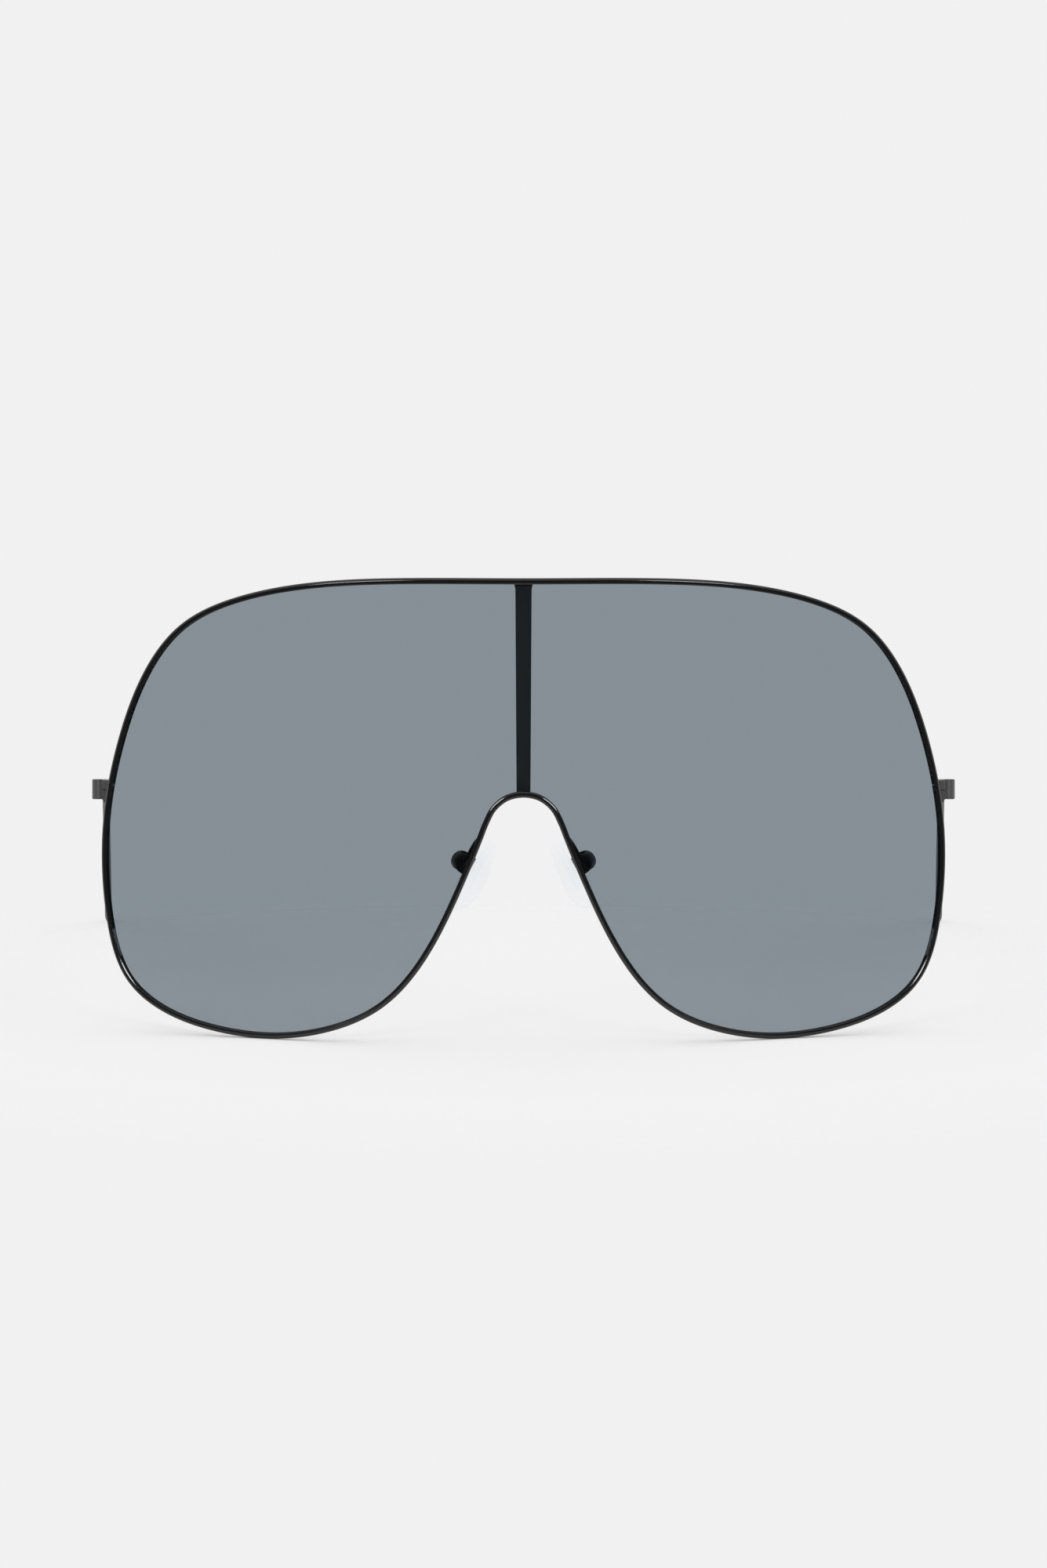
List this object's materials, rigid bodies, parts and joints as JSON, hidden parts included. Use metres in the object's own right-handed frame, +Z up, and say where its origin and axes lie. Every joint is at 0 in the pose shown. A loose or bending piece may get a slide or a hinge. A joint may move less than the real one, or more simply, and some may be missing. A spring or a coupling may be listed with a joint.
{
  "type": "sunglasses",
  "caption": "Large wrapped shield sunglasses: smoke lens in a thin black metal rim, slim centre bar, clear nose pads, flat folding temples.",
  "frame": {"origin": "middle of the base of the bounding box: between the sides, halfway from the lens to the temple tips, on the surface that the glasses stand on", "axes": "+X to the right as someone facing the lens sees it, -Y the way the lens looks, +Y back along the open temples, +Z up"},
  "size_m": [0.158, 0.1624, 0.0806],
  "materials": {
    "lacquered_rim": "black lacquer, satin to gloss, over a metal wire",
    "lacquered_fittings": "black lacquer over metal strip, box and block",
    "lens": "clear smoke grey lens, polished, with no mirror coat",
    "screws": "blackened steel screws",
    "temple_metal": "black lacquer over a flat metal strip",
    "tip_sleeve": "black plastic sleeve, satin",
    "pad_silicone": "clear soft silicone",
    "pad_anchor": "stiff clear plastic anchor"
  },
  "bodies": {
    "front": {"upper_rim": "lacquered_rim", "lower_rim": "lacquered_rim", "shield_lens": "lens", "centre_bar": "lacquered_rim", "left_end_piece": "lacquered_fittings", "left_rim_lock_upper": "lacquered_fittings", "left_rim_lock_lower": "lacquered_fittings", "left_rim_lock_screw": "screws", "left_front_leaf": "lacquered_fittings", "left_hinge_screw": "screws", "left_pad_arm": "lacquered_fittings", "left_pad_box": "lacquered_fittings", "left_pad_screw": "screws", "right_end_piece": "lacquered_fittings", "right_rim_lock_upper": "lacquered_fittings", "right_rim_lock_lower": "lacquered_fittings", "right_rim_lock_screw": "screws", "right_front_leaf": "lacquered_fittings", "right_hinge_screw": "screws", "right_pad_arm": "lacquered_fittings", "right_pad_box": "lacquered_fittings", "right_pad_screw": "screws"},
    "left_temple_arm": {"left_temple_leaf": "lacquered_fittings", "left_temple": "temple_metal", "left_temple_tip": "tip_sleeve"},
    "left_pad": {"left_nose_pad": "pad_silicone", "left_pad_core": "pad_anchor"},
    "right_temple_arm": {"right_temple_leaf": "lacquered_fittings", "right_temple": "temple_metal", "right_temple_tip": "tip_sleeve"},
    "right_pad": {"right_nose_pad": "pad_silicone", "right_pad_core": "pad_anchor"}
  },
  "joints": [
    {"name": "left_temple_fold", "type": "hinge", "parent": "front", "child": "left_temple_arm", "pos_m": [-0.07329, -0.05131, 0.04076], "axis": [0, -0.1184, -0.993], "range_deg": [0, 93]},
    {"name": "right_temple_fold", "type": "hinge", "parent": "front", "child": "right_temple_arm", "pos_m": [0.07329, -0.05131, 0.04076], "axis": [0, 0.1184, 0.993], "range_deg": [0, 87]},
    {"name": "left_pad_rock", "type": "hinge", "parent": "front", "child": "left_pad", "pos_m": [-0.01014, -0.07335, 0.03129], "axis": [-0.3755, 0.9063, 0.1938], "range_deg": [-8, 8]},
    {"name": "right_pad_rock", "type": "hinge", "parent": "front", "child": "right_pad", "pos_m": [0.01014, -0.07335, 0.03129], "axis": [0.3755, 0.9063, 0.1938], "range_deg": [-8, 8]}
  ]
}
